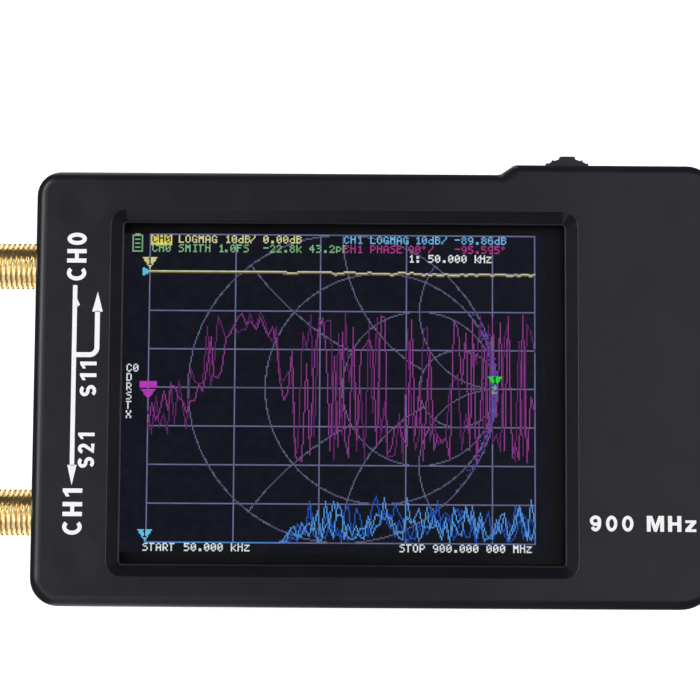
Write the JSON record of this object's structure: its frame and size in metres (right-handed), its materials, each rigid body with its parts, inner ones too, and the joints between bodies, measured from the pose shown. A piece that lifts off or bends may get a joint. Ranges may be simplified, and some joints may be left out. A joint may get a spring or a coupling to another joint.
{
  "type": "vector network analyzer",
  "caption": "Handheld vector network analyzer in a flat black case with a bevelled touch display, threaded coaxial jacks on one side, a jog lever and a power switch.",
  "frame": {"origin": "middle of the case's flat back face, which the device lies on", "axes": "+X to the right of the display, +Y to its top edge, +Z out of the display"},
  "size_m": [0.0999, 0.0629, 0.019],
  "materials": {
    "case_plastic": "fine-grained black ABS",
    "black_plastic": "satin black plastic",
    "light_plastic": "natural nylon",
    "white_plastic": "white moulded plastic",
    "gold_plate": "gold-plated brass",
    "insulator_white": "white fluoropolymer",
    "plated_steel": "tin-plated steel",
    "screw_steel": "blackened steel",
    "foam_black": "closed-cell foam",
    "touch_glass": "clear glossy touch panel",
    "display_glass": "dark display cell",
    "flex_film": "amber polyimide film",
    "board_laminate": "solder-masked laminate",
    "chip_epoxy": "matt moulding compound",
    "ceramic_tan": "fired ceramic",
    "battery_foil": "satin pouch foil",
    "tape_white": "double-sided tape",
    "wire_red": "silicone insulation",
    "wire_black": "silicone insulation",
    "lamp_lens": "clear epoxy"
  },
  "bodies": {
    "root": {"front_shell": "case_plastic", "rear_shell": "case_plastic", "usb_tongue": "black_plastic", "power_switch_base": "black_plastic", "flex_latch": "black_plastic", "battery_header": "light_plastic", "battery_plug": "light_plastic", "flex_connector": "light_plastic", "lcd_backlight": "white_plastic", "jack_body_ch0": "gold_plate", "jack_body_ch1": "gold_plate", "jack_contact_ch0": "gold_plate", "jack_contact_ch1": "gold_plate", "usb_contacts": "gold_plate", "jack_insulator_ch0": "insulator_white", "jack_insulator_ch1": "insulator_white", "shield_ch0": "plated_steel", "shield_ch1": "plated_steel", "shield_reference": "plated_steel", "jog_housing": "plated_steel", "power_switch_shell": "plated_steel", "usb_shell": "plated_steel", "jog_terminals": "plated_steel", "power_terminals": "plated_steel", "jog_dome": "plated_steel", "clock_crystal": "plated_steel", "controller_crystal": "plated_steel", "case_screws": "screw_steel", "window_gasket": "foam_black", "foam_strips": "foam_black", "touch_panel": "touch_glass", "lcd_cell": "display_glass", "lcd_flex_cable": "flex_film", "main_board": "board_laminate", "microcontroller": "chip_epoxy", "audio_codec": "chip_epoxy", "clock_synthesizer": "chip_epoxy", "voltage_regulator": "chip_epoxy", "charger_chip": "chip_epoxy", "mixer_ch0": "chip_epoxy", "mixer_ch1": "chip_epoxy", "mixer_reference": "chip_epoxy", "power_inductor": "chip_epoxy", "chip_resistors": "chip_epoxy", "chip_capacitors": "ceramic_tan", "battery_cell": "battery_foil", "battery_tape": "tape_white", "battery_lead_red": "wire_red", "battery_lead_black": "wire_black", "status_lamps": "lamp_lens"},
    "carrier": {"jog_carrier": "black_plastic", "jog_pin": "plated_steel"},
    "lever": {"jog_lever": "black_plastic"},
    "power_knob": {"power_slider": "black_plastic"}
  },
  "joints": [
    {"name": "jog_press", "type": "slide", "parent": "root", "child": "carrier", "axis": [0, -1, 0], "range_m": [0, 0.0005], "stiffness_N_per_m": 1500, "springref_m": -0.0004},
    {"name": "jog_tilt", "type": "hinge", "parent": "carrier", "child": "lever", "pos_m": [0.0271, 0.0274, 0.007], "axis": [0, 0, 1], "range_deg": [-8, 8], "stiffness_Nm_per_rad": 0.02},
    {"name": "power_slide", "type": "slide", "parent": "root", "child": "power_knob", "axis": [0, 1, 0], "range_m": [0, 0.002]}
  ]
}
